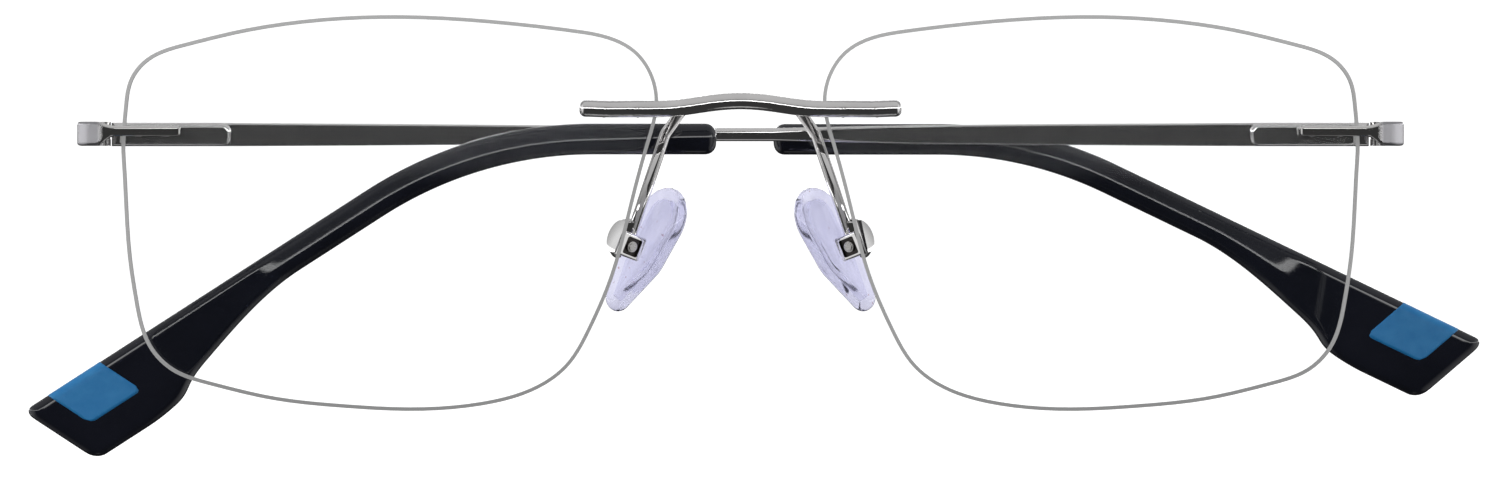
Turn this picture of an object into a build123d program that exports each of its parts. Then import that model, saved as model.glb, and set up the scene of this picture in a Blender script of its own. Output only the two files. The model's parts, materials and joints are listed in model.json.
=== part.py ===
from build123d import *
import os
from math import atan, cos, pi, radians, sin, sqrt, tan

# Rimless spectacles with sprung temple hinges, drawn with both temples folded.
# Millimetres. The origin is midway between the two nose pads. +X runs to the
# wearer's left, +Y backwards towards the face, +Z up. Every side part is drawn
# on the wearer's left and mirrored in the plane X = 0 for the right.

SIDES = ("left", "right")

# Play between fixed pieces, and between pieces that turn or slide.
fit_gap = 0.02
running_clearance = 0.03

# Lenses: meniscus blanks 39.6 high, drilled for the mounts.
lens_width = 53.7
lens_gap = 16.5
lens_thickness = 1.8
lens_front_radius = 130.0
lens_vertex_y = -9.0
lens_centre_z = 4.0
lens_bevel = 0.36

# Bridge bar: a polished round bar laid across the front of both lenses.
bar_diameter = 1.65
bar_half_length = 16.1
bar_end_rounding = 0.6
bar_z = 14.4
bar_arch_half = 8.4
bar_arch_rise = 0.8
bar_post_x = (10.3, 13.7)
bar_post_radius = 0.45
bar_bushing_radius = 0.7
bar_flange_radius = 0.8
nut_flats = 1.5
nut_thickness = 0.9

# The clear sleeves stop short of the lens front, and their flanges lie on
# the curved lens back, a little off it at the middle.
sleeve_inset = 0.15
flange_seat = 0.33
flange_thickness = 0.3

# Nose pads, with the box and screw that each one rocks on.
pad_centre_x = 9.35
pad_splay = 22.0
pad_turn = 54.4
pad_thickness = 2.0
# Circles that a pad's outline wraps: places across and up, and radius.
pad_circles = [(-0.3, 3.5, 3.5), (0.5, 0, 3.5), (1.75, -5.0, 1.65)]
pad_rounding = 0.85
core_inset = 1.3
core_thickness = 0.6
tab_radius = 0.65
tab_thickness = 0.8
box_centre = 2.65
box_start = 1.4
box_depth = 2.5
box_width = 2.2
box_height = 2.5
box_slot = (0.96, 1.9)
box_recess = 1.8
box_recess_depth = 0.3
shield_centre = (0.2, 0.45)
shield_start = 3.3
shield_radius = 2.1
shield_thickness = 0.7
shield_front = -0.8
pad_screw_radius = 0.4
pad_screw_head_radius = 0.6
pad_screw_head_height = 0.45
pad_screw_end_radius = 0.55

# Pad wires: from the bridge bar down and back to the box.
wire_width = 1.1
wire_thickness = 0.75
wire_root_x = 5.6
wire_kink = (7.5, -4.9, 12.0)
wire_foot_out = 2.6
wire_foot_up = 1.15
wire_bend_radius = 1.8

# End pieces: a strip on the lens front that turns back to the hinge.
endpiece_outer_x = 66.45
endpiece_z = 11.95
endpiece_height = 2.4
endpiece_thickness = 1.0
prong_tip_x = 56.0
prong_z = 12.22
prong_height = 1.05
flare_start_x = 62.6
shoulder_x = 64.6
endpiece_inner_bend = 0.7
endpiece_outer_bend = 1.6
endpiece_rounding = 0.3
endpiece_post_x = (57.4, 60.2)
endpiece_post_radius = 0.3
endpiece_bushing_radius = 0.5
endpiece_flange_radius = 0.55
cap_thickness = 0.7

# Hinges and their springs.
hinge_x = 64.3
hinge_y = -2.0
hinge_radius = 1.1
hinge_screw_radius = 0.5
hinge_head_radius = 0.8
hinge_head_height = 0.3
slot_width = 0.2
tongue_height = 0.96
root_gap = 1.25
casing_length = 11.9
casing_height = 2.35
casing_depth = 1.7
casing_rounding = 0.45
casing_wall = 0.8
bore_radius = 0.55
bore_end = 10.9
rod_radius = 0.28
rod_length = 9.8
stop_length = 0.8
stop_radius = 0.5
spring_mean_radius = 0.41
spring_wire_radius = 0.08
spring_turns = 8

# Temples: a flat polished strip that narrows to a wire inside a plastic tip.
temple_z = 11.9
strip_thickness = 1.0
temple_reach = 145.4
core_radius = 0.5
tip_top_z = 13.0
tip_width = 3.1
tip_thickness = 2.8
tip_bend_radius = 42.0
paddle_width = 8.1
paddle_slant = 3.6
tip_rounding = 0.8
inlay_span = (3.3, 9.2)
inlay_width = 4.7
inlay_depth = 0.6
inlay_corner = 0.4

# Distance from the hinge, height of the strip and its corner radius there.
strip_stations = [(root_gap, 2.35, 0.2), (13.5, 2.35, 0.2), (32, 2.12, 0.2), (46, 1.9, 0.2)]
neck_stations = [(46, 1.9, 0.2), (53.5, 1.62, 0.3), (61, 1.3, 0.45)]

# The two tips were set to different bends: distance from the hinge to the
# bend, drop angle, and where the plastic starts, for each side.
tip_bend_at = {"left": 91.5, "right": 94.0}
tip_drop = {"left": 32.8, "right": 25.6}
tip_start = {"left": 66.75, "right": 68.05}

# The right temple folds second, and rests on the left one short of square.
fold_short = {"left": 0.0, "right": 3.8}

lens_centre_x = (lens_gap + lens_width) / 2
strip_y = hinge_y + hinge_radius + strip_thickness / 2
temple_root_x = hinge_x - root_gap

os.makedirs("parts", exist_ok=True)


def lens_face_y(x, z, radius=lens_front_radius, vertex=lens_vertex_y):
    """Depth of a lens face at (x, z), by default the front face."""
    across = (abs(x) - lens_centre_x) ** 2 + (z - lens_centre_z) ** 2
    return vertex + radius - sqrt(radius**2 - across)


def lens_back_y(x, z):
    back_radius = lens_front_radius - lens_thickness
    return lens_face_y(x, z, back_radius, lens_vertex_y + lens_thickness)


def at_depth(y):
    """The X-Z plane at depth y, seen from the front."""
    return Plane.XZ.offset(-y)


def save(piece, name, side="left", swing=0.0):
    """Put a finished piece on its side, label it and write its file."""
    if side == "right":
        piece.part = piece.part.mirror(Plane.YZ)
        hinge = Axis((-hinge_x, hinge_y, 0), (0, 0, 1))
        piece.part = piece.part.rotate(hinge, swing)
    piece.part.label = name
    export_step(piece.part, f"parts/{name}.step")
    return piece.part


# ---------------------------------------------------------------- lenses
# Outline about the boxing centre, from the temporal side round the bottom.
lens_outline = [
    (26.85, 5.3),
    (26.2, -4.7),
    (25.6, -8.7),
    (24.2, -13.4),
    (21.9, -15.8),
    (18.0, -17.25),
    (11.75, -18.7),
    (4.45, -19.5),
    (-1.55, -19.8),
    (-9.55, -19.2),
    (-14.8, -17.6),
    (-17.9, -15.3),
    (-20.1, -11.7),
    (-22.25, -6.7),
    (-24.4, 1.2),
    (-26.0, 7.1),
    (-26.85, 11.3),
    (-26.3, 13.9),
    (-24.6, 16.3),
    (-22.0, 17.7),
    (-18.5, 18.4),
    (-11.55, 19.2),
    (-0.55, 19.8),
    (8.45, 19.35),
    (15.25, 18.3),
    (20.45, 17.05),
    (24.4, 15.5),
    (26.1, 13.4),
    (26.65, 10.6),
]


def drill(x_places, z, radius):
    """Cut holes from front to back at each x in x_places."""
    with BuildSketch(at_depth(lens_vertex_y - 3)) as holes:
        with Locations(*[(x, z) for x in x_places]):
            Circle(radius)
    extrude(holes.sketch, amount=-20, mode=Mode.SUBTRACT)


for side in SIDES:
    with BuildPart() as lens:
        with BuildSketch(at_depth(lens_vertex_y - 1)):
            with BuildLine():
                Spline(
                    *[(lens_centre_x + x, lens_centre_z + z) for x, z in lens_outline],
                    periodic=True,
                )
            make_face()
        extrude(amount=-12)
        sphere_y = lens_vertex_y + lens_front_radius
        with Locations((lens_centre_x, sphere_y, lens_centre_z)):
            Sphere(lens_front_radius, mode=Mode.INTERSECT)
            Sphere(lens_front_radius - lens_thickness, mode=Mode.SUBTRACT)
        rims = lens.edges().sort_by(SortBy.LENGTH)[-2:]
        chamfer(rims, lens_bevel)
        drill(bar_post_x, bar_z, bar_bushing_radius + fit_gap)
        drill(endpiece_post_x, prong_z, endpiece_bushing_radius + fit_gap)
    save(lens, f"lens_{side}", side)


# ---------------------------------------------------------------- bridge
bar_rest_x = (bar_post_x[0] + bar_post_x[1]) / 2
bar_slope = (lens_centre_x - bar_rest_x) / lens_front_radius
bar_rest_y = lens_face_y(bar_rest_x, bar_z) - bar_diameter / 2 - 3 * fit_gap


def bar_centre(x):
    """Centre of the bridge bar at x, as (y, z)."""
    if abs(x) > bar_arch_half:
        return bar_rest_y - bar_slope * (abs(x) - bar_rest_x), bar_z
    shoulder_y = bar_rest_y + bar_slope * (bar_rest_x - bar_arch_half)
    bow = bar_slope * (bar_arch_half**2 - x**2) / (2 * bar_arch_half)
    rise = bar_arch_rise * (1 + cos(pi * x / bar_arch_half)) / 2
    return shoulder_y + bow, bar_z + rise


def rods(x_places, z, radius, start, end, mode=Mode.ADD):
    """Round rods from front to back at each x in x_places, on both sides."""
    with BuildSketch(at_depth(start)) as ends:
        with Locations(*[(x, z) for x in x_places], *[(-x, z) for x in x_places]):
            Circle(radius)
    extrude(ends.sketch, amount=start - end, mode=mode)


def sleeve_set(x_places, z, outer, inner, flange):
    """Clear plastic sleeves in the lens holes, flanged against the lens back."""
    for x in x_places:
        front = lens_face_y(x - outer, z) + sleeve_inset
        back = sleeve_back(x, z, flange)
        rods([x], z, outer, front, back)
        rods([x], z, flange, back - flange_thickness, back)
        rods([x], z, inner, front - 1, back + 1, Mode.SUBTRACT)


def sleeve_back(x, z, flange):
    """Depth of the back of a sleeve's flange."""
    side_x = x - flange if x < lens_centre_x else x + flange
    return lens_back_y(side_x, z) + flange_seat


bar_stations = [0, 2.1, 4.2, 6.3, bar_arch_half, 11.0, 14.0, bar_half_length]

with BuildPart() as bridge_bar:
    for x in [-s for s in reversed(bar_stations[1:])] + bar_stations:
        y, z = bar_centre(x)
        with BuildSketch(Plane(origin=(x, y, z), x_dir=(0, 1, 0), z_dir=(1, 0, 0))):
            Circle(bar_diameter / 2)
    loft()
    ends = bridge_bar.faces().filter_by(Axis.X)
    fillet(ends.edges(), bar_end_rounding)
    for x in bar_post_x:
        post_end = sleeve_back(x, bar_z, bar_flange_radius) + nut_thickness
        rods([x], bar_z, bar_post_radius, bar_centre(x)[0], post_end)
bar_solid = save(bridge_bar, "bridge_bar")


with BuildPart() as bridge_bushings:
    post_fit = bar_post_radius + fit_gap
    sleeve_set(bar_post_x, bar_z, bar_bushing_radius, post_fit, bar_flange_radius)
save(bridge_bushings, "bridge_bushings")

with BuildPart() as bridge_nuts:
    for x in bar_post_x:
        nut_y = sleeve_back(x, bar_z, bar_flange_radius) + fit_gap / 2
        with BuildSketch(at_depth(nut_y)):
            with Locations((x, bar_z), (-x, bar_z)):
                RegularPolygon(nut_flats / 2, 6, major_radius=False, rotation=30)
        extrude(amount=-nut_thickness)
        rods([x], bar_z, bar_post_radius + fit_gap, nut_y - 1, nut_y + 2, Mode.SUBTRACT)
    crowns = bridge_nuts.faces().filter_by(Axis.Y).group_by(Axis.Y)[-1]
    chamfer(crowns.edges().filter_by(GeomType.LINE), 0.12)
save(bridge_nuts, "bridge_nuts")


# ------------------------------------------------------------- nose pads
def unit(x, y, z):
    return Vector(x, y, z).normalized()


# Along the pad's length, up; across it, front edge to back edge; and out of
# its back towards the box.
pad_up = unit(-sin(radians(pad_splay)), 0, cos(radians(pad_splay)))
pad_level = unit(cos(radians(pad_turn)), sin(radians(pad_turn)), 0)
pad_across = (pad_level - pad_up * pad_level.dot(pad_up)).normalized()
pad_out = pad_across.cross(pad_up)
pad_centre = Vector(pad_centre_x, 0, 0)


def pad_plane(height=0.0):
    """Plane parallel to the pad, height towards the box."""
    return Plane(origin=pad_centre + pad_out * height, x_dir=pad_across, z_dir=pad_out)


def box_plane(along=0.0):
    """Plane square to the pad screw, along it from the box's middle."""
    middle = pad_centre + pad_out * box_centre
    return Plane(origin=middle + pad_across * along, x_dir=pad_up, z_dir=pad_across)


def pad_outline(shrink=0.0):
    for across, up, radius in pad_circles:
        with Locations((across, up)):
            Circle(radius - shrink)
    make_hull()


for side in SIDES:
    with BuildPart() as pad_core:
        with BuildSketch(pad_plane(-core_thickness / 2)):
            pad_outline(shrink=core_inset)
        extrude(amount=core_thickness)
        with BuildSketch(pad_plane()):
            Rectangle(tab_thickness, 2 * tab_radius)
        extrude(amount=box_centre)
        with BuildSketch(box_plane(-tab_thickness / 2)):
            Circle(tab_radius)
        extrude(amount=tab_thickness)
        with BuildSketch(box_plane(-1)):
            Circle(pad_screw_radius + running_clearance)
        extrude(amount=2, mode=Mode.SUBTRACT)
    core_solid = pad_core.part
    save(pad_core, f"pad_core_{side}", side)

    with BuildPart() as nose_pad:
        with BuildSketch(pad_plane(-pad_thickness / 2)):
            pad_outline()
        extrude(amount=pad_thickness)
        fillet(nose_pad.faces().filter_by(pad_plane()).edges(), pad_rounding)
        add(core_solid, mode=Mode.SUBTRACT)
    save(nose_pad, f"nose_pad_{side}", side)

    with BuildPart() as pad_arm:
        root = (wire_root_x, *bar_centre(wire_root_x))
        foot = pad_centre + pad_out * wire_foot_out + pad_up * wire_foot_up
        with BuildLine() as wire_path:
            FilletPolyline(root, wire_kink, foot, radius=wire_bend_radius)
        start = wire_path.line % 0
        across_wire = start.cross(Vector(0, 1, 0))
        with BuildSketch(Plane(wire_path.line @ 0, x_dir=across_wire, z_dir=start)):
            RectangleRounded(wire_width, wire_thickness, 0.3)
        sweep()
        with BuildSketch(pad_plane(box_start)):
            RectangleRounded(box_width, box_height, 0.25)
        extrude(amount=box_depth)
        with BuildSketch(pad_plane(shield_start)):
            with Locations(shield_centre):
                Circle(shield_radius)
            with Locations((shield_front - shield_radius, shield_centre[1])):
                Rectangle(2 * shield_radius, 2 * shield_radius, mode=Mode.SUBTRACT)
        extrude(amount=shield_thickness, taper=30)
        slot_start = box_start - 0.3
        slot_end = box_centre + tab_radius + 0.15
        with BuildSketch(pad_plane(slot_start)):
            Rectangle(*box_slot)
        extrude(amount=slot_end - slot_start, mode=Mode.SUBTRACT)
        with BuildSketch(box_plane(-box_width / 2)):
            RectangleRounded(box_recess, box_recess, 0.2)
        extrude(amount=box_recess_depth, mode=Mode.SUBTRACT)
        with BuildSketch(box_plane(-box_width)):
            Circle(pad_screw_radius + fit_gap)
        extrude(amount=2 * box_width, mode=Mode.SUBTRACT)
        add(bar_solid, mode=Mode.SUBTRACT)
    save(pad_arm, f"pad_arm_{side}", side)

with BuildPart() as pad_screws:
    screw_seat = box_width / 2 + fit_gap
    with BuildSketch(box_plane(-screw_seat - 0.1)):
        Circle(pad_screw_radius)
    extrude(amount=2 * screw_seat + 0.1)
    with BuildSketch(box_plane(-box_width / 2)):
        Circle(pad_screw_end_radius)
    extrude(amount=box_recess_depth - fit_gap)
    with BuildSketch(box_plane(screw_seat)):
        Circle(pad_screw_head_radius)
    extrude(amount=pad_screw_head_height)
    with BuildSketch(box_plane(screw_seat + pad_screw_head_height)):
        Rectangle(3 * pad_screw_head_radius, slot_width)
    extrude(amount=-pad_screw_head_height / 3, mode=Mode.SUBTRACT)
    mirror(about=Plane.YZ)
save(pad_screws, "pad_screws")


# ------------------------------------------------------------ end pieces
prong_mid_x = (endpiece_post_x[0] + endpiece_post_x[1]) / 2
prong_slope = (prong_mid_x - lens_centre_x) / lens_front_radius
prong_rear_y = lens_face_y(prong_mid_x, prong_z) - 3.5 * fit_gap
skew_thickness = endpiece_thickness / cos(atan(prong_slope))


def prong_rear(x):
    return prong_rear_y + prong_slope * (x - prong_mid_x)


inner_wall_x = endpiece_outer_x - endpiece_thickness
wall_end_y = hinge_y + root_gap - 0.05
endpiece_top = endpiece_z + endpiece_height / 2
endpiece_bottom = endpiece_z - endpiece_height / 2
prong_top = prong_z + prong_height / 2
prong_bottom = prong_z - prong_height / 2
ear_height = (endpiece_height - tongue_height) / 2 - 0.06
last_sleeve_back = sleeve_back(endpiece_post_x[1], prong_z, endpiece_flange_radius)
endpiece_post_end = last_sleeve_back + cap_thickness / 2

for side in SIDES:
    with BuildPart() as endpiece:
        with BuildSketch(Plane.XY.offset(endpiece_bottom)):
            with BuildLine():
                rear = FilletPolyline(
                    (prong_tip_x, prong_rear(prong_tip_x)),
                    (inner_wall_x, prong_rear(inner_wall_x)),
                    (inner_wall_x, wall_end_y),
                    radius=endpiece_inner_bend,
                )
                front = FilletPolyline(
                    (prong_tip_x, prong_rear(prong_tip_x) - skew_thickness),
                    (endpiece_outer_x, prong_rear(endpiece_outer_x) - skew_thickness),
                    (endpiece_outer_x, wall_end_y),
                    radius=endpiece_outer_bend,
                )
                Line(rear @ 0, front @ 0)
                Line(rear @ 1, front @ 1)
            make_face()
        extrude(amount=endpiece_height)
        with BuildSketch(at_depth(-12)):
            with BuildLine():
                before = prong_tip_x - 1
                beyond = endpiece_outer_x + 1
                top_lead = Line((before, prong_top), (flare_start_x, prong_top))
                bottom_lead = Line((before, prong_bottom), (flare_start_x, prong_bottom))
                top_edge = Line((shoulder_x, endpiece_top), (beyond, endpiece_top))
                bottom_edge = Line((shoulder_x, endpiece_bottom), (beyond, endpiece_bottom))
                Spline(top_lead @ 1, top_edge @ 0, tangents=[(1, 0), (1, 0)])
                Spline(bottom_lead @ 1, bottom_edge @ 0, tangents=[(1, 0), (1, 0)])
                Line(top_lead @ 0, bottom_lead @ 0)
                Line(top_edge @ 1, bottom_edge @ 1)
            make_face()
        extrude(amount=-20, mode=Mode.INTERSECT)
        uprights = endpiece.edges().filter_by(Axis.Z).group_by(Axis.X)[0]
        fillet(uprights, 0.25)
        outer_rims = endpiece.edges().filter_by(Axis.Y).group_by(Axis.X)[-1]
        fillet(outer_rims, endpiece_rounding)
        for ear_z in (endpiece_bottom, endpiece_top - ear_height):
            with BuildSketch(Plane.XY.offset(ear_z)):
                with Locations((hinge_x, hinge_y)):
                    Circle(hinge_radius)
                with Locations(((hinge_x + inner_wall_x) / 2 + 0.1, hinge_y)):
                    Rectangle(inner_wall_x - hinge_x + 0.2, 2 * hinge_radius)
            extrude(amount=ear_height)
        with BuildSketch(at_depth(prong_rear_y - 0.5)):
            with Locations(*[(x, prong_z) for x in endpiece_post_x]):
                Circle(endpiece_post_radius)
        extrude(amount=prong_rear_y - 0.5 - endpiece_post_end)
        with BuildSketch(Plane.XY.offset(endpiece_bottom - 1)):
            with Locations((hinge_x, hinge_y)):
                Circle(hinge_screw_radius + fit_gap)
        extrude(amount=endpiece_height + 2, mode=Mode.SUBTRACT)
        with BuildSketch(Plane.XY.offset(endpiece_top - hinge_head_height - fit_gap)):
            with Locations((hinge_x, hinge_y)):
                Circle(hinge_head_radius + fit_gap)
        extrude(amount=1, mode=Mode.SUBTRACT)
    save(endpiece, f"endpiece_{side}", side)

with BuildPart() as endpiece_bushings:
    sleeve_set(
        endpiece_post_x,
        prong_z,
        endpiece_bushing_radius,
        endpiece_post_radius + fit_gap,
        endpiece_flange_radius,
    )
save(endpiece_bushings, "endpiece_bushings")

with BuildPart() as endpiece_caps:
    for x in endpiece_post_x:
        cap_y = sleeve_back(x, prong_z, endpiece_flange_radius) + fit_gap / 2
        rods([x], prong_z, endpiece_flange_radius, cap_y, cap_y + cap_thickness)
    domes = endpiece_caps.faces().filter_by(Axis.Y).sort_by(Axis.Y)[4:]
    fillet(domes.edges(), 0.3)
    bore = endpiece_post_radius + fit_gap
    bore_back = endpiece_post_end + fit_gap
    rods(endpiece_post_x, prong_z, bore, lens_vertex_y, bore_back, Mode.SUBTRACT)
save(endpiece_caps, "endpiece_caps")

with BuildPart() as hinge_screws:
    with BuildSketch(Plane.XY.offset(endpiece_bottom + fit_gap)):
        with Locations((hinge_x, hinge_y)):
            Circle(hinge_screw_radius)
    extrude(amount=endpiece_height - hinge_head_height)
    with BuildSketch(Plane.XY.offset(endpiece_top - hinge_head_height)):
        with Locations((hinge_x, hinge_y)):
            Circle(hinge_head_radius)
    extrude(amount=hinge_head_height - fit_gap)
    with BuildSketch(Plane.XY.offset(endpiece_top)):
        with Locations((hinge_x, hinge_y)):
            Rectangle(3 * hinge_head_radius, slot_width)
    extrude(amount=-hinge_head_height / 2, mode=Mode.SUBTRACT)
    mirror(about=Plane.YZ)
save(hinge_screws, "hinge_screws")


# ------------------------------------------------------- sprung hinges
rod_y = strip_y - strip_thickness / 2 - casing_depth / 2
rod_end_x = hinge_x - rod_length
stop_x = rod_end_x + stop_length
wall_x = temple_root_x - casing_wall


def across_temple(x, y=rod_y):
    """Plane square to a folded temple at x, looking towards its hinge."""
    return Plane(origin=(x, y, temple_z), x_dir=(0, 1, 0), z_dir=(1, 0, 0))


for side in SIDES:
    swing = fold_short[side]
    with BuildPart() as hinge_tongue:
        with BuildSketch(Plane.XY.offset(temple_z - tongue_height / 2)):
            with Locations((hinge_x, hinge_y)):
                Circle(hinge_radius - 0.05)
        extrude(amount=tongue_height)
        with BuildSketch(across_temple(rod_end_x)):
            Circle(rod_radius)
        extrude(amount=hinge_x - 0.7 - rod_end_x)
        with BuildSketch(Plane.XY.offset(temple_z - 1)):
            with Locations((hinge_x, hinge_y)):
                Circle(hinge_screw_radius + running_clearance)
        extrude(amount=2, mode=Mode.SUBTRACT)
    save(hinge_tongue, f"hinge_tongue_{side}", side, swing)

    with BuildPart() as spring_stop:
        with BuildSketch(across_temple(rod_end_x)):
            RegularPolygon(stop_radius, 8)
            Circle(rod_radius + fit_gap / 2, mode=Mode.SUBTRACT)
        extrude(amount=stop_length)
    save(spring_stop, f"spring_stop_{side}", side, swing)

    with BuildPart() as tongue_spring:
        spring_start = stop_x + spring_wire_radius + fit_gap
        spring_length = wall_x - spring_wire_radius - fit_gap - spring_start
        with BuildLine() as coil:
            Helix(
                pitch=spring_length / spring_turns,
                height=spring_length,
                radius=spring_mean_radius,
                center=(spring_start, rod_y, temple_z),
                direction=(1, 0, 0),
            )
        with BuildSketch(Plane(origin=coil.line @ 0, z_dir=coil.line % 0)):
            Circle(spring_wire_radius)
        sweep(is_frenet=True)
    save(tongue_spring, f"tongue_spring_{side}", side, swing)

    with BuildPart() as spring_casing:
        casing_mid_x = temple_root_x - casing_length / 2
        with BuildSketch(at_depth(strip_y - strip_thickness / 2)):
            with Locations((casing_mid_x, temple_z)):
                RectangleRounded(casing_length, casing_height, 0.9)
            with Locations((temple_root_x - 1, temple_z)):
                Rectangle(2, casing_height)
        extrude(amount=casing_depth)
        rim = spring_casing.faces().sort_by(Axis.Y)[0].edges()
        fillet(rim, casing_rounding)
        with BuildSketch(across_temple(wall_x)):
            Circle(bore_radius)
        extrude(amount=casing_wall - bore_end, mode=Mode.SUBTRACT)
        with BuildSketch(across_temple(temple_root_x + 1)):
            Circle(rod_radius + running_clearance)
        extrude(amount=-3, mode=Mode.SUBTRACT)
    save(spring_casing, f"spring_casing_{side}", side, swing)

    # ----------------------------------------------------------- temples
    drop = radians(tip_drop[side])
    along = (-cos(drop), -sin(drop))
    bend_x = hinge_x - tip_bend_at[side]
    tip_leg = temple_reach - tip_bend_at[side]
    mouth_x = hinge_x - tip_start[side]

    def on_tip(run, depth):
        """Point on the dropped part, run past the bend, depth below its top."""
        x = bend_x - run * cos(drop) + depth * sin(drop)
        return x, tip_top_z - run * sin(drop) - depth * cos(drop)

    def below_bend(depth):
        return bend_x + depth * tan(drop / 2), tip_top_z - depth

    def core_wire(start_x, radius, mode=Mode.ADD):
        """The wire inside the tip, from start_x to short of the inlay."""
        depth = tip_top_z - temple_z
        with BuildLine(at_depth(strip_y)) as wire:
            FilletPolyline(
                (start_x, temple_z),
                below_bend(depth),
                on_tip(tip_leg - 12, depth),
                radius=tip_bend_radius - depth,
            )
        with BuildSketch(across_temple(start_x, strip_y)) as section:
            Circle(radius)
        sweep(section.sketch, path=wire.line, mode=mode)

    with BuildPart() as temple_arm:
        for stations in (strip_stations, neck_stations):
            for run, height, corner in stations:
                with BuildSketch(across_temple(hinge_x - run, strip_y)):
                    RectangleRounded(strip_thickness, height, corner)
            loft()
        neck_run, neck_height, neck_corner = neck_stations[-1]
        neck_x = hinge_x - neck_run
        with BuildSketch(across_temple(neck_x, strip_y)):
            RectangleRounded(strip_thickness, neck_height, neck_corner)
        extrude(amount=mouth_x + 0.05 - neck_x)
        core_wire(mouth_x + 0.1, core_radius)
    save(temple_arm, f"temple_arm_{side}", side, swing)

    with BuildPart() as tip_body:
        with BuildSketch(at_depth(strip_y)) as outline:
            with BuildLine():
                top = FilletPolyline(
                    (mouth_x, tip_top_z),
                    below_bend(0),
                    on_tip(tip_leg, 0),
                    radius=tip_bend_radius,
                )
                bottom = FilletPolyline(
                    (mouth_x, tip_top_z - tip_width),
                    below_bend(tip_width),
                    on_tip(tip_leg - 30, tip_width),
                    radius=tip_bend_radius - tip_width,
                )
                belly = Spline(
                    bottom @ 1,
                    on_tip(tip_leg - 24.5, 4.0),
                    on_tip(tip_leg - 19, 5.3),
                    on_tip(tip_leg - 14, 6.95),
                    on_tip(tip_leg - 8.5, paddle_width),
                    on_tip(tip_leg - paddle_slant, paddle_width),
                    tangents=[along, along],
                )
                Line(top @ 0, bottom @ 0)
                Line(top @ 1, belly @ 1)
            make_face()
            fillet(outline.vertices().sort_by(Axis.X)[:2], 1.1)
            fillet(outline.vertices().group_by(Axis.X)[-1], 0.95)
        extrude(amount=tip_thickness / 2, both=True)
        fillet(tip_body.faces().filter_by(Axis.Y).edges(), tip_rounding)
    tip_solid = tip_body.part

    def inlay_block(mode):
        front_y = strip_y - tip_thickness / 2
        far, near = (tip_leg - run for run in inlay_span)
        lean = paddle_slant / paddle_width
        corners = [(near, -1), (near, inlay_width), (far, inlay_width), (far, -1)]
        with BuildSketch(at_depth(front_y + inlay_depth)) as block:
            places = [on_tip(run - lean * depth, depth) for run, depth in corners]
            Polygon(*places, align=None)
            fillet(block.vertices().sort_by(Axis.Y)[:2], inlay_corner)
        extrude(block.sketch, amount=2, mode=mode)

    with BuildPart() as temple_tip:
        add(tip_solid)
        inlay_block(Mode.SUBTRACT)
        core_wire(mouth_x + 0.2, core_radius + fit_gap, Mode.SUBTRACT)
    save(temple_tip, f"temple_tip_{side}", side, swing)

    with BuildPart() as tip_inlay:
        add(tip_solid)
        inlay_block(Mode.INTERSECT)
    save(tip_inlay, f"tip_inlay_{side}", side, swing)
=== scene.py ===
import json
from math import cos, pi, radians, sin, sqrt, tan

import bmesh
import bpy
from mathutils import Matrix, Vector


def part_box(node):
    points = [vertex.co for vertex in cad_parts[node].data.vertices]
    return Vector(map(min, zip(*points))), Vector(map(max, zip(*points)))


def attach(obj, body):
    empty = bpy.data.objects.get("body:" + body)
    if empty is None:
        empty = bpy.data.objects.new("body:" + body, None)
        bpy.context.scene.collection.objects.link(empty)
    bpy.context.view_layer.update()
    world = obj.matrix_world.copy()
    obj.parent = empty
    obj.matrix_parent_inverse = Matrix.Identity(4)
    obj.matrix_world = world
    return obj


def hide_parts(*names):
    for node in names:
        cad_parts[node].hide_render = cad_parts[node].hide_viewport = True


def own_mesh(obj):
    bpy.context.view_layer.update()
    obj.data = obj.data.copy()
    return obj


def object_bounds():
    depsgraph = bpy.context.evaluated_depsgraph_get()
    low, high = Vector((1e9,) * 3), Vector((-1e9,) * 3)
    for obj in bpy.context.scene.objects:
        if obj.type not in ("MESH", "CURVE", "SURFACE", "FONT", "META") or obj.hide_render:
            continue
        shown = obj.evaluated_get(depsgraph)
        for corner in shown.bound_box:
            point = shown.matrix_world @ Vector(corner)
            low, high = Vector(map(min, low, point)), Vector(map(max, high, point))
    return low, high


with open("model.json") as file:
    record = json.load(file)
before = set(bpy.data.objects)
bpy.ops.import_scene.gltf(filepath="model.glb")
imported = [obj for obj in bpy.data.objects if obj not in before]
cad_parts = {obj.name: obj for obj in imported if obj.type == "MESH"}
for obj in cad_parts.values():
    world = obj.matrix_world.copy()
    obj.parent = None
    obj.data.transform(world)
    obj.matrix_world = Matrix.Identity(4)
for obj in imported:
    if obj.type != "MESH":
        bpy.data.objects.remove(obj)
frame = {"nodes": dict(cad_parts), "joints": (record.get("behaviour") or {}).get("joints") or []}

# Metres, in the row frame: +X to the wearer's left, +Y towards the face, +Z up.
MM = 0.001
SIDES = ("left", "right")
UP = Vector((0, 0, 1))
TURNS = 72  # points round a curved outline

cad_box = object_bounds()
nodes = frame["nodes"]
joints = {joint["name"]: joint for joint in frame["joints"]}

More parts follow.
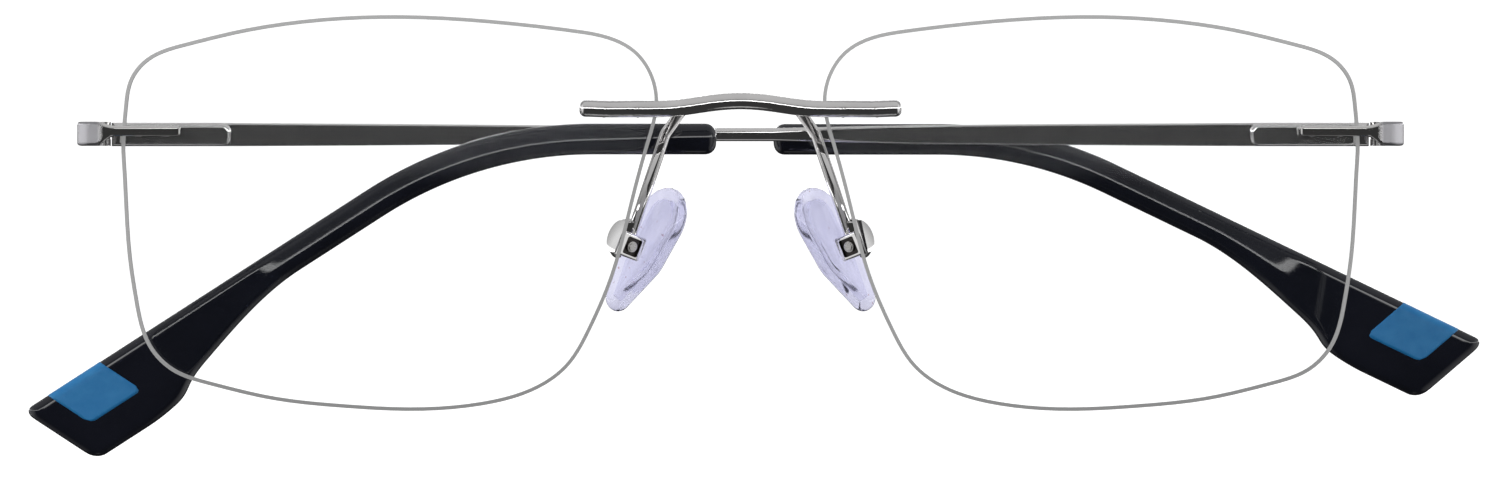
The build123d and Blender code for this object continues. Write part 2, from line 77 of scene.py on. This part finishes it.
# Temple tips: the plastic sleeve that ends in a paddle. tip_bend_at and tip_reach
# are from the hinge pin. The places of the paddle, the crease and the inlay are
# from the tip's far end, and depths are below its top edge.
tip_width = 3.1 * MM
tip_thickness = 2.8 * MM
tip_bend_radius = 42.0 * MM
tip_bend_at = {"left": 91.5 * MM, "right": 94.0 * MM}
tip_drop = {"left": radians(32.8), "right": radians(25.6)}
tip_reach = 144.9 * MM
tip_rounding = 0.8 * MM
tip_corner = 1.1 * MM
tip_spacing = 0.6 * MM
paddle_width = 8.1 * MM
paddle_lean = 3.6 / 8.1
paddle_starts = 31.0 * MM
paddle_full = 6.0 * MM
paddle_leans = (18.0 * MM, 9.5 * MM)
crease_tilt = 0.14
crease_softness = 0.2 * MM
crease_fades = {"left": (27.0 * MM, 30.5 * MM), "right": (20.0 * MM, 23.5 * MM)}
ridge_at_mouth = 0.46  # shares of the tip's width
ridge_drop = 0.11
ridge_settles = 16.0 * MM  # from the sleeve's mouth
inlay_span = (3.0 * MM, 9.2 * MM)
inlay_width = 4.7 * MM
inlay_corner = 0.7 * MM
inlay_proud = 0.02 * MM
inlay_depth = 0.35 * MM

# Nose pads, and the distance from each pad's middle to its screw. A pad's
# outline wraps three circles, each given across the pad, up it and in radius, in
# millimetres. Its two faces draw in towards the heart.
pad_splay = radians(22.0)
pad_to_screw = 2.65 * MM
pad_circles = [(-0.3, 3.5, 3.5), (0.5, 0.0, 3.5), (1.75, -5.0, 1.65)]
pad_heart = (0.4 * MM, 0.5 * MM)
pad_drawn_in = 0.9
pad_half_thickness = 1.0 * MM
pad_edge = 0.85 * MM
pad_crown = 0.18 * MM
pad_dish = 0.25 * MM

# The recess in the front of each pad's box, about its screw, whose faces are painted dark as shade.
recess_half_width = 0.92 * MM
recess_near = -1.08 * MM
recess_far = -0.78 * MM

# The shield outside each box: its face and middle from the screw, and how
# roundly it swells.
shield_face = 1.35 * MM
shield_across = 0.2 * MM
shield_up = 0.45 * MM
shield_bulge = 9.0 * MM
shield_margin = 0.05 * MM

# How squarely a lens face looks forwards or back. Less than this is its edge.
lens_squareness = 0.9

# Where the end pieces turn from polished to satin, with a darker colour painted in as shade, out from
# the middle.
satin_shade_from = 63.7 * MM
satin_shade_full = 64.4 * MM

# The light tent: brightness by elevation in degrees, and at the sides, which
# starts and is full that far sideways.
tent_brightest = 4.0
tent_sides = 0.8
tent_side_span = (0.45, 0.85)
tent = [
    (-90, 0.5),
    (-84, 0.5),
    (-78, 0.04),
    (3, 0.035),
    (5, tent_brightest),
    (9, tent_brightest),
    (11, 0.24),
    (20, 0.3),
    (36, 0.5),
    (90, 0.55),
]

# The stage, in metres: its floor's rings, and the backdrop's bend and top.
floor_gap = 0.3 * MM
floor_radii = (0.05, 0.3, 1, 3, 7.0)
backdrop_bend = 2.0
backdrop_top = 9.0

# The camera, which sees view_width at view_depth behind the front of the lenses.
view_width = 150 * MM
view_depth = 1.5 * MM
camera_distance = 1.5
camera_aside = 0.95 * MM
camera_height = 1.45 * MM


# ------------------------------------------------------------- materials
class Shader:
    """A material or a world, with short calls for the nodes it is made of."""

    def __init__(self, name, kind=bpy.data.materials):
        self.block = kind.new(name)
        self.block.use_nodes = True
        self.tree = self.block.node_tree
        self.tree.nodes.clear()

    def node(self, kind, sockets, **settings):
        made = self.tree.nodes.new("ShaderNode" + kind)
        for name, value in settings.items():
            setattr(made, name, value)
        for name, value in sockets.items():
            if isinstance(value, bpy.types.NodeSocket):
                self.tree.links.new(value, made.inputs[name])
            else:
                made.inputs[name].default_value = value
        return made

    def noise(self, grain, detail=2.0, stretch=(1, 1, 1)):
        """Smooth noise from 0 to 1 whose grains are that many metres across."""
        place = self.node("TexCoord", {}).outputs["Object"]
        scaled = self.node("Mapping", {"Vector": place, "Scale": stretch})
        sockets = {"Vector": scaled.outputs["Vector"], "Scale": 1 / grain, "Detail": detail}
        return self.node("TexNoise", sockets).outputs["Fac"]

    def span(self, value, low, high, start=0.3, end=0.7):
        """value as a number from low, where it is start, to high."""
        sockets = {"Value": value, "From Min": start, "From Max": end, "To Min": low, "To Max": high}
        return self.node("MapRange", sockets).outputs["Result"]

    def blend(self, value, first, second):
        """A colour from first to second as value goes from 0 to 1."""
        ramp = self.node("ValToRGB", {"Fac": value})
        for element, colour in zip(ramp.color_ramp.elements, (first, second)):
            element.color = (*colour, 1)
        return ramp.outputs["Color"]

    def relief(self, height, distance, rounding=0.0):
        """A normal with that height of relief, on edges rounded by rounding."""
        sockets = {"Height": height, "Distance": distance, "Strength": 1.0}
        if rounding:
            edge = self.node("Bevel", {"Radius": rounding}, samples=8)
            sockets["Normal"] = edge.outputs["Normal"]
        return self.node("Bump", sockets).outputs["Normal"]

    def principled(self, sockets):
        shader = self.node("BsdfPrincipled", sockets)
        return self.finish(shader.outputs["BSDF"])

    def finish(self, surface, output="OutputMaterial"):
        self.node(output, {"Surface": surface})
        return self.block


def chrome_plate(name, dome=None):
    """Bright plating: slightly uneven polish, with fine wiping marks.

    A dome is a middle and a radius: faces then shine as if swelling from there.
    """
    shader = Shader(name)
    cloud = shader.noise(2.5 * MM, detail=1.0)
    marks = shader.noise(0.12 * MM, detail=4.0, stretch=(0.12, 1, 1))
    tint = shader.blend(shader.span(cloud, 0, 1), (0.78, 0.77, 0.77), (0.86, 0.85, 0.85))
    swell = {}
    if dome:
        middle, radius = dome
        place = shader.node("TexCoord", {}).outputs["Object"]
        away = shader.node("VectorMath", {0: place, 1: middle}, operation="SUBTRACT").outputs[0]
        lean = shader.node("VectorMath", {0: away, "Scale": 1 / radius}, operation="SCALE").outputs[0]
        face = shader.node("NewGeometry", {}).outputs["Normal"]
        bent = shader.node("VectorMath", {0: face, 1: lean}, operation="ADD").outputs[0]
        swell["Normal"] = shader.node("VectorMath", {0: bent}, operation="NORMALIZE").outputs[0]
    ripple = {"Height": cloud, "Distance": 0.004 * MM, "Strength": 1.0}
    return shader.principled({
        "Base Color": tint,
        "Metallic": 1.0,
        "Roughness": shader.span(marks, 0.02, 0.06),
        "Normal": shader.node("Bump", {**ripple, **swell}).outputs["Normal"],
    })


def endpiece_plate():
    """The end pieces: polished prongs that turn to satin at the outer faces. The satin is rougher,
    and its darker colour is painted shade for the duller look of the angled outer faces.
    """
    shader = Shader("endpiece_plate")
    place = shader.node("TexCoord", {}).outputs["Object"]
    sideways = shader.node("SeparateXYZ", {"Vector": place}).outputs["X"]
    reach = shader.node("Math", {0: sideways}, operation="ABSOLUTE").outputs[0]
    outer = shader.span(reach, 0, 1, start=satin_shade_from, end=satin_shade_full)
    grain = shader.noise(0.08 * MM, detail=3.0)
    polished = shader.blend(grain, (0.78, 0.77, 0.76), (0.86, 0.85, 0.84))
    # Painted shade: the outer faces' colour is darkened for how they take the light.
    satin_shade_colour = shader.blend(grain, (0.36, 0.355, 0.375), (0.44, 0.435, 0.455))
    tint = shader.node("MixRGB", {"Fac": outer, "Color1": polished, "Color2": satin_shade_colour})
    return shader.principled({
        "Base Color": tint.outputs["Color"],
        "Metallic": 1.0,
        "Roughness": shader.span(outer, 0.04, 0.34, start=0, end=1),
        "Normal": shader.relief(grain, 0.001 * MM),
    })


def turned_metal(name):
    """Screws, nuts and springs: machined steel with a fine lathe finish."""
    shader = Shader(name)
    grain = shader.noise(0.06 * MM, detail=3.0)
    return shader.principled({
        "Base Color": shader.blend(grain, (0.36, 0.35, 0.34), (0.62, 0.61, 0.6)),
        "Metallic": 1.0,
        "Roughness": shader.span(grain, 0.2, 0.36),
        "Normal": shader.relief(grain, 0.004 * MM, rounding=0.06 * MM),
    })


def painted_recess_shade():
    """Painted shade for the recesses in the pad boxes: dark metal put where their depth would shade
    the plating.
    """
    shader = Shader("painted_recess_shade")
    grain = shader.noise(0.1 * MM, detail=3.0)
    return shader.principled({
        "Base Color": shader.blend(grain, (0.035, 0.03, 0.03), (0.075, 0.07, 0.065)),
        "Metallic": 1.0,
        "Roughness": shader.span(grain, 0.3, 0.45),
        "Normal": shader.relief(grain, 0.004 * MM),
    })


def lens_glass():
    """Coated lens: it bends nothing, mirrors little and holds wiping marks."""
    shader = Shader("lens_glass")
    smear = shader.noise(9 * MM, detail=3.0)
    tint = shader.blend(smear, (0.985, 0.99, 0.99), (0.995, 0.997, 0.997))
    clear = shader.node("BsdfTransparent", {"Color": tint})
    mirror = shader.node("BsdfGlossy", {"Roughness": shader.span(smear, 0.02, 0.06)})
    coating = shader.node("Fresnel", {"IOR": 1.12})
    both = {"Fac": coating.outputs[0], 1: clear.outputs[0], 2: mirror.outputs[0]}
    return shader.finish(shader.node("MixShader", both).outputs[0])


def ground_edge_painted_glow():
    """The lens edge as it leaves the grinding wheel: matt and grey, with a painted glow of its own
    colour that evens out its shading.
    """
    shader = Shader("ground_edge_painted_glow")
    grain = shader.noise(0.05 * MM, detail=3.0)
    colour = shader.blend(grain, (0.2, 0.2, 0.2), (0.26, 0.26, 0.26))
    return shader.principled({
        "Base Color": colour,
        "Roughness": 0.75,
        "Specular IOR Level": 0.2,
        # Painted glow: the edge shines in its own colour, though it is no lamp.
        "Emission Color": colour,
        "Emission Strength": 0.75,
        "Normal": shader.relief(grain, 0.004 * MM),
    })


def clear_plastic(name, first, second, rough, ripple, ior=1.43):
    """See-through moulded plastic with flow ripples."""
    shader = Shader(name)
    flow = shader.noise(1.6 * MM, detail=2.0, stretch=(1, 1, 0.35))
    return shader.principled({
        "Base Color": shader.blend(shader.span(flow, 0, 1), first, second),
        "Roughness": shader.span(flow, rough, rough + 0.05),
        "IOR": ior,
        "Transmission Weight": 1.0,
        "Normal": shader.relief(flow, ripple),
    })


def pad_silicone():
    """Soft clear silicone, faintly lavender, with dust specks held in it."""
    shader = Shader("pad_silicone")
    flow = shader.noise(1.4 * MM, detail=2.0, stretch=(1, 1, 0.3))
    dust = shader.noise(0.42 * MM, detail=0.0)
    speck = shader.span(dust, 0, 1, start=0.82, end=0.85)
    clear = shader.blend(shader.span(flow, 0, 1), (0.57, 0.57, 0.73), (0.66, 0.66, 0.8))
    tint = shader.node("MixRGB", {"Fac": speck, "Color1": clear, "Color2": (0.3, 0.16, 0.2, 1)})
    return shader.principled({
        "Base Color": tint.outputs["Color"],
        "Roughness": shader.span(flow, 0.03, 0.09),
        "IOR": 1.2,
        "Transmission Weight": 0.94,
        "Coat Weight": 0.3,
        "Coat Roughness": 0.05,
        "Normal": shader.relief(flow, 0.006 * MM),
    })


def black_acetate():
    """Polished black plastic, faintly uneven, with hairline handling marks."""
    shader = Shader("black_acetate")
    swell = shader.noise(5 * MM, detail=1.0)
    marks = shader.noise(0.15 * MM, detail=4.0, stretch=(0.15, 1, 0.3))
    return shader.principled({
        "Base Color": shader.blend(swell, (0.004, 0.005, 0.009), (0.009, 0.01, 0.017)),
        "Roughness": shader.span(marks, 0.04, 0.08),
        "IOR": 1.5,
        "Specular IOR Level": 0.6,
        "Normal": shader.relief(swell, 0.004 * MM),
    })


def blue_enamel():
    """Printed enamel: flat blue, a little cloudy, with specks of wear."""
    shader = Shader("blue_enamel")
    cloud = shader.noise(1.2 * MM, detail=3.0)
    grit = shader.noise(0.09 * MM, detail=2.0)
    blue = shader.blend(shader.span(cloud, 0, 1), (0.012, 0.16, 0.4), (0.025, 0.2, 0.45))
    worn = shader.span(grit, 0, 0.35, start=0.7, end=0.8)
    tint = shader.node("MixRGB", {"Fac": worn, "Color1": blue, "Color2": (0.2, 0.42, 0.62, 1)})
    return shader.principled({
        "Base Color": tint.outputs["Color"],
        "Roughness": shader.span(grit, 0.32, 0.45),
        "Specular IOR Level": 0.35,
        "Normal": shader.relief(grit, 0.004 * MM),
    })


chrome = chrome_plate("chrome")
endpiece_chrome = endpiece_plate()
steel = turned_metal("turned_steel")
recess_shade_material = painted_recess_shade()
glass = lens_glass()
edge = ground_edge_painted_glow()
sleeve_clear = clear_plastic("sleeve_clear", (0.9, 0.92, 0.92), (0.97, 0.98, 0.98), 0.02, 0.004 * MM)
core_tints = (0.84, 0.84, 0.93), (0.9, 0.9, 0.96)
core_clear = clear_plastic("core_clear", *core_tints, 0.04, 0.004 * MM, ior=1.14)
silicone = pad_silicone()
acetate = black_acetate()
enamel = blue_enamel()

finishes = {
    "bridge_bar": chrome,
    "bridge_bushings": sleeve_clear,
    "bridge_nuts": steel,
    "pad_arm": chrome,
    "pad_screws": steel,
    "pad_core": core_clear,
    "endpiece_bushings": sleeve_clear,
    "endpiece_caps": steel,
    "endpiece": endpiece_chrome,
    "hinge_screws": steel,
    "hinge_tongue": steel,
    "tongue_spring": steel,
    "spring_stop": steel,
    "spring_casing": chrome,
    "temple_arm": chrome,
    "lens": glass,
}


def pad_frame(side):
    """A pad's screw, and the ways across it, up it and out of its back."""
    rock = joints[f"{side}_pad_rock"]
    screw = Vector(rock["pos_m"])
    across = Vector(rock["axis"])
    outward = 1 if screw.x > 0 else -1
    across *= 1 if across.x * outward > 0 else -1
    up = Vector((-outward * sin(pad_splay), 0, cos(pad_splay)))
    return screw, across, up, across.cross(up) * outward


def finish_cad_nodes():
    """Give each CAD node that stays in view its material."""
    for name, part in nodes.items():
        kind = name.removesuffix("_left").removesuffix("_right")
        if kind in finishes:
            part.data.materials.clear()
            part.data.materials.append(finishes[kind])
    for side in SIDES:
        lens = nodes[f"lens_{side}"].data
        # The lens edge slot, with its painted glow.
        lens.materials.append(edge)
        for face in lens.polygons:
            face.material_index = int(abs(face.normal.y) < lens_squareness)
        arm = nodes[f"pad_arm_{side}"].data
        # Slot 1 is painted shade for the box's recess; slot 2 is the shield's domed chrome.
        arm.materials.append(recess_shade_material)
        screw, across, up, out = pad_frame(side)
        middle = screw + out * shield_face + across * shield_across + up * shield_up
        arm.materials.append(chrome_plate(f"shield_chrome_{side}", (middle, shield_bulge)))
        for face in arm.polygons:
            place = face.center - screw
            in_depth = recess_near < place.dot(across) < recess_far
            off_axis = max(abs(place.dot(up)), abs(place.dot(out)))
            on_shield = place.dot(out) > shield_face - shield_margin
            # Faces in the box's recess get the painted shade.
            if in_depth and off_axis < recess_half_width:
                face.material_index = 1
            elif on_shield:
                face.material_index = 2


# ------------------------------------------------------------ mesh pieces
def skin(name, rings, material):
    """A closed, smooth piece through rings of points, capped at both ends."""
    mesh = bmesh.new()
    placed = [[mesh.verts.new(point) for point in ring] for ring in rings]
    count = len(rings[0])
    for low, high in zip(placed, placed[1:]):
        for i in range(count):
            j = (i + 1) % count
            mesh.faces.new((low[i], low[j], high[j], high[i]))
    mesh.faces.new(placed[0])
    mesh.faces.new(placed[-1])
    bmesh.ops.recalc_face_normals(mesh, faces=mesh.faces)
    for face in mesh.faces:
        face.smooth = True
    data = bpy.data.meshes.new(name)
    mesh.to_mesh(data)
    mesh.free()
    data.materials.append(material)
    piece = bpy.data.objects.new(name, data)
    bpy.context.scene.collection.objects.link(piece)
    return piece


def smooth_step(value, start, end):
    """0 at start and before it, 1 at end and past it, smooth between."""
    t = min(max((value - start) / (end - start), 0), 1)
    return t * t * (3 - 2 * t)


def steps(low, high, count):
    """Evenly spaced numbers from low to high, in count steps."""
    return [low + (high - low) * i / count for i in range(count + 1)]


# ----------------------------------------------------------- temple tips
class Tip:
    """One temple tip: its line, its width and the shape of its faces."""

    def __init__(self, side):
        fold = joints[f"{side}_temple_fold"]
        self.pin = Vector(fold["pos_m"])
        self.along = Vector(joints[f"{side}_temple_flex"]["axis"])
        self.back = self.along.cross(UP)
        self.back *= 1 if self.back.y > 0 else -1
        low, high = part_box(f"temple_tip_{side}")
        self.top = high.z
        self.middle = self.depth_of(f"temple_tip_{side}")
        self.drop = tip_drop[side]
        self.fade = crease_fades[side]
        mouth = min(abs(low.x - self.pin.x), abs(high.x - self.pin.x))
        self.mouth = mouth / abs(self.along.x)
        self.arc_start = tip_bend_at[side] - tip_bend_radius * tan(self.drop / 2)
        self.straight = self.arc_start - self.mouth
        self.arc = tip_bend_radius * self.drop
        leg = tip_reach - tip_bend_at[side] - tip_bend_radius * tan(self.drop / 2)
        self.length = self.straight + self.arc + leg

    def depth_of(self, node):
        """How far behind the pin the middle of a node of this temple lies."""
        places = [(v.co - self.pin).dot(self.back) for v in nodes[node].data.vertices]
        return (min(places) + max(places)) / 2

    def edge(self, run):
        """Point on the top edge, run from the mouth, and the line's slope."""
        if run < self.straight:
            return self.mouth + run, self.top, 0.0
        angle = min((run - self.straight) / tip_bend_radius, self.drop)
        over = max(run - self.straight - self.arc, 0)
        out = self.arc_start + tip_bend_radius * sin(angle) + over * cos(angle)
        height = self.top - tip_bend_radius * (1 - cos(angle)) - over * sin(angle)
        return out, height, angle

    def place(self, run, depth, behind):
        """Point in the row frame: along the tip, below its edge, behind its middle."""
        left = self.length - run
        lean = paddle_lean * smooth_step(left, *paddle_leans)
        out, height, angle = self.edge(run - lean * depth)
        out -= depth * sin(angle)
        height -= depth * cos(angle)
        across = self.back * (self.middle + behind)
        return Vector((self.pin.x, self.pin.y, height)) + self.along * out + across

    def width(self, run):
        """How wide the tip is there, which swells into the paddle."""
        swell = smooth_step(self.length - run, paddle_starts, paddle_full)
        return tip_width + (paddle_width - tip_width) * swell

    def crease(self, run, depth):
        """How far the front face falls back from the ridge at that depth."""
        share = ridge_at_mouth + ridge_drop * smooth_step(run, 0, ridge_settles)
        ridge = self.width(run) * share
        strength = crease_tilt * smooth_step(self.length - run, *self.fade)
        slope = sqrt((depth - ridge) ** 2 + crease_softness**2) - crease_softness
        return strength * slope

    def section(self, run, inset, thinning):
        """Outline round the tip at run, inset at the edges and thinned."""
        top, bottom = inset, self.width(run) - inset
        half = tip_thickness / 2 - thinning
        bend = min(tip_rounding, half, (bottom - top) / 2)
        front = []
        for angle in steps(0, pi / 2, 6):
            front.append((top + bend * (1 - cos(angle)), half - bend * (1 - sin(angle))))
        front += [(depth, half) for depth in steps(top + bend, bottom - bend, 18)[1:-1]]
        for angle in steps(pi / 2, 0, 6):
            front.append((bottom - bend * (1 - cos(angle)), half - bend * (1 - sin(angle))))
        ring = [(depth, -out + self.crease(run, depth)) for depth, out in front]
        ring += reversed(front)
        return [self.place(run, depth, behind) for depth, behind in ring]


def rounded_ends(length, radius, spacing):
    """Stations along a length, each with how far its rounded end pulls in."""
    ends = []
    for angle in steps(0, pi / 2, 8):
        ends.append((radius * (1 - sin(pi / 2 - angle)), radius * (1 - cos(pi / 2 - angle))))
    stations = [(run, pull) for run, pull in ends if pull > 1e-9]
    count = int((length - 2 * radius) / spacing)
    stations += [(run, 0) for run in steps(radius, length - radius, count)]
    stations += [(length - run, pull) for run, pull in reversed(ends) if pull > 1e-9]
    return stations


def build_tip(side):
    tip = Tip(side)
    rings = []
    for run, pull in rounded_ends(tip.length, tip_corner, tip_spacing):
        rings.append(tip.section(run, pull, pull * tip_rounding / tip_corner))
    piece = skin(f"tip_{side}", rings, acetate)
    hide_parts(f"temple_tip_{side}")
    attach(piece, f"{side}_temple")
    return tip


def build_inlay(side, tip):
    """A tile let into the paddle's front face, over its top edge."""
    far, near = inlay_span
    half = tip_thickness / 2
    middle = half - tip_rounding
    rings = []
    for left in steps(near, far, 24):
        run = tip.length - left
        corner = max(inlay_corner - min(near - left, left - far), 0)
        lowest = inlay_width - inlay_corner + sqrt(inlay_corner**2 - corner**2)
        outer = []
        for proud in (inlay_proud, -inlay_depth):
            bend = tip_rounding + proud
            line = []
            for angle in steps(0, pi / 2, 6):
                line.append((tip_rounding - bend * cos(angle), -middle - bend * sin(angle)))
            for depth in steps(tip_rounding, lowest, 12)[1:]:
                line.append((depth, -middle - bend))
            outer.append([(depth, out + tip.crease(run, depth)) for depth, out in line])
        ring = outer[0] + outer[1][::-1]
        rings.append([tip.place(run, depth, behind) for depth, behind in ring])
    piece = skin(f"inlay_{side}", rings, enamel)
    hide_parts(f"tip_inlay_{side}")
    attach(piece, f"{side}_temple")


# ------------------------------------------------------------- nose pads
def pad_outline(inset):
    """Outline of a pad, as (across, up) points, pulled in by inset."""
    outline = []
    for turn in range(TURNS):
        across, up = sin(2 * pi * turn / TURNS), cos(2 * pi * turn / TURNS)
        reaches = [(a * across + b * up + radius, a, b, radius) for a, b, radius in pad_circles]
        _, a, b, radius = max(reaches)
        radius -= inset / MM
        outline.append(((a + radius * across) * MM, (b + radius * up) * MM))
    return outline


def build_pad(side):
    """A soft pad: crowned on the nose side, rounded rim, dished at the back."""
    screw, across, up, out = pad_frame(side)
    centre = screw - out * pad_to_screw
    front = pad_half_thickness - pad_crown
    # How far each level is pulled in, then drawn to the pad's heart, and its height.
    levels = []
    for share in steps(pad_drawn_in, 0, 10):
        crown = smooth_step(share, 0, pad_drawn_in)
        levels.append((pad_edge, share, -front - pad_crown * crown))
    for angle in steps(0, pi, 14)[1:-1]:
        height = -cos(angle) * (front if angle < pi / 2 else pad_half_thickness)
        levels.append((pad_edge * (1 - sin(angle)), 0, height))
    for share in steps(0, pad_drawn_in, 10):
        dish = smooth_step(share, 0, pad_drawn_in)
        levels.append((pad_edge, share, pad_half_thickness - pad_dish * dish))
    rings = []
    for inset, share, height in levels:
        ring = []
        for a, b in pad_outline(inset):
            a += (pad_heart[0] - a) * share
            b += (pad_heart[1] - b) * share
            ring.append(centre + across * a + up * b + out * height)
        rings.append(ring)
    piece = skin(f"pad_{side}", rings, silicone)
    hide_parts(f"nose_pad_{side}")
    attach(piece, f"{side}_nose_pad")


# ---------------------------------------------------------- hinge springs
def build_spring(side):
    """The spring on a hinge tongue: a copy of its CAD node, carried by the tongue."""
    name = f"tongue_spring_{side}"
    data = nodes[name].data.copy()
    piece = bpy.data.objects.new(f"spring_{side}", data)
    bpy.context.scene.collection.objects.link(piece)
    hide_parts(name)
    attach(piece, f"{side}_hinge_tongue")
    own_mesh(piece)


# ------------------------------------------------------ stage and lighting
def build_stage():
    """A pale floor just under the glasses, rising into a round backdrop."""
    floor_z = cad_box[0].z - floor_gap
    flat, bend = floor_radii[-1], backdrop_bend
    profile = [(radius, floor_z) for radius in floor_radii]
    for angle in steps(0, pi / 2, 12)[1:]:
        profile.append((flat + bend * sin(angle), floor_z + bend * (1 - cos(angle))))
    profile.append((flat + bend, backdrop_top))
    rings = []
    for radius, height in profile:
        turn = [2 * pi * i / TURNS for i in range(TURNS)]
        rings.append([(radius * cos(a), radius * sin(a), height) for a in turn])
    mesh = bmesh.new()
    placed = [[mesh.verts.new(point) for point in ring] for ring in rings]
    for low, high in zip(placed, placed[1:]):
        for i in range(TURNS):
            j = (i + 1) % TURNS
            mesh.faces.new((low[i], low[j], high[j], high[i])).smooth = True
    mesh.faces.new(placed[0])
    data = bpy.data.meshes.new("backdrop")
    mesh.to_mesh(data)
    mesh.free()
    shader = Shader("pale_paper")
    paper = shader.node("BsdfDiffuse", {"Color": (0.5, 0.5, 0.5, 1)})
    glow = shader.node("Emission", {"Color": (1, 1, 1, 1), "Strength": 0.8})
    both = shader.node("AddShader", {0: paper.outputs[0], 1: glow.outputs[0]})
    data.materials.append(shader.finish(both.outputs[0]))
    backdrop = bpy.data.objects.new("backdrop", data)
    bpy.context.scene.collection.objects.link(backdrop)
    backdrop.visible_glossy = False
    backdrop.visible_diffuse = False
    backdrop.visible_shadow = False


def build_world():
    """A light tent: pale above, dark round the middle, pale below and beside."""
    shader = Shader("tent", bpy.data.worlds)
    bpy.context.scene.world = shader.block
    ways = shader.node("SeparateXYZ", {"Vector": shader.node("TexCoord", {}).outputs["Generated"]})
    height = shader.span(ways.outputs["Z"], 0, 1, start=-1, end=1)
    ramp = shader.node("ValToRGB", {"Fac": height})
    stops = ramp.color_ramp.elements
    while len(stops) < len(tent):
        stops.new(0.5)
    for stop, (elevation, brightness) in zip(stops, tent):
        stop.position = (1 + sin(radians(elevation))) / 2
        stop.color = (*[brightness / tent_brightest] * 3, 1)
    sideways = shader.node("Math", {0: ways.outputs["X"]}, operation="ABSOLUTE")
    beside = shader.span(sideways.outputs[0], 0, tent_sides / tent_brightest, *tent_side_span)
    level = shader.node("Math", {0: ramp.outputs["Color"], 1: beside}, operation="MAXIMUM")
    # Seen directly or through clear plastic, the far ground is white like the backdrop.
    ray = shader.node("LightPath", {}).outputs
    seen = {0: ray["Is Camera Ray"], 1: ray["Is Transmission Ray"]}
    direct = shader.node("Math", seen, operation="MAXIMUM").outputs[0]
    white = (*[1 / tent_brightest] * 3, 1)
    tone = shader.node("MixRGB", {"Fac": direct, "Color1": level.outputs[0], "Color2": white})
    light = {"Color": tone.outputs["Color"], "Strength": tent_brightest}
    shine = shader.node("Background", light)
    shader.finish(shine.outputs["Background"], output="OutputWorld")


def build_light(name, place, size, power):
    """A soft square light at place, facing the glasses."""
    data = bpy.data.lights.new(name, "AREA")
    data.size = size
    data.energy = power
    light = bpy.data.objects.new(name, data)
    light.location = place
    light.rotation_euler = (-Vector(place)).to_track_quat("-Z", "Y").to_euler()
    light.visible_glossy = False
    light.visible_transmission = False
    bpy.context.scene.collection.objects.link(light)


def build_camera():
    """Level with the glasses and square to them, from far enough to look flat."""
    data = bpy.data.cameras.new("camera")
    camera = bpy.data.objects.new("camera", data)
    bpy.context.scene.collection.objects.link(camera)
    bpy.context.scene.camera = camera
    lens_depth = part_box("lens_left")[0].y + view_depth
    data.sensor_width = 36.0
    data.lens = data.sensor_width * camera_distance / view_width
    data.clip_start = 0.01
    data.clip_end = 50.0
    camera.location = (camera_aside, lens_depth - camera_distance, camera_height)
    camera.rotation_euler = (pi / 2, 0, 0)


finish_cad_nodes()
for side in SIDES:
    build_inlay(side, build_tip(side))
    build_pad(side)
    build_spring(side)
build_stage()
build_world()
build_light("key", (-0.5, -0.7, 0.9), 0.6, 5.0)
build_light("fill", (0.8, 0.5, 1.0), 0.8, 4.0)
build_camera()
bpy.context.scene.view_settings.view_transform = "Standard"
